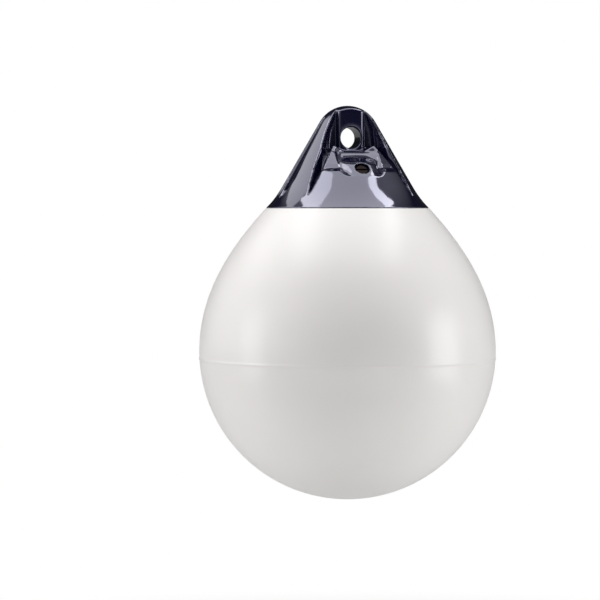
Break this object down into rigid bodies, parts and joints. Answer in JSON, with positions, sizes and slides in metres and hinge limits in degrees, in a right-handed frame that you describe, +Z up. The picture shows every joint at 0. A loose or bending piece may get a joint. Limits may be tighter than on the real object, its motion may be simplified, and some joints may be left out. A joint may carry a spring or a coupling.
{
  "type": "ball fender",
  "caption": "Inflatable vinyl ball fender, white ball with a dark moulded rope head, round rope eye and an air valve in the head's front; hangs from a mooring line.",
  "frame": {"origin": "centre of the rope eye, on its bore's axis and in the middle of the eye's thickness", "axes": "+Z up, from the ball to the top of the eye; Y along the eye's bore, with the valve on the -Y side; X across the head, in the plane of the eye"},
  "size_m": [0.3686, 0.3686, 0.488],
  "materials": {
    "white_vinyl": "smooth satin gloss, off-white flexible vinyl",
    "navy_vinyl": "glossy, very dark navy vinyl",
    "black_nylon": "moulded satin",
    "seal_rubber": "matt",
    "maroon_nylon": "moulded satin, dark red-brown"
  },
  "bodies": {
    "root": {"ball_shell": "white_vinyl", "rope_head": "navy_vinyl", "valve_seat": "black_nylon", "valve_seal": "seal_rubber", "valve_screw": "maroon_nylon"}
  },
  "joints": []
}
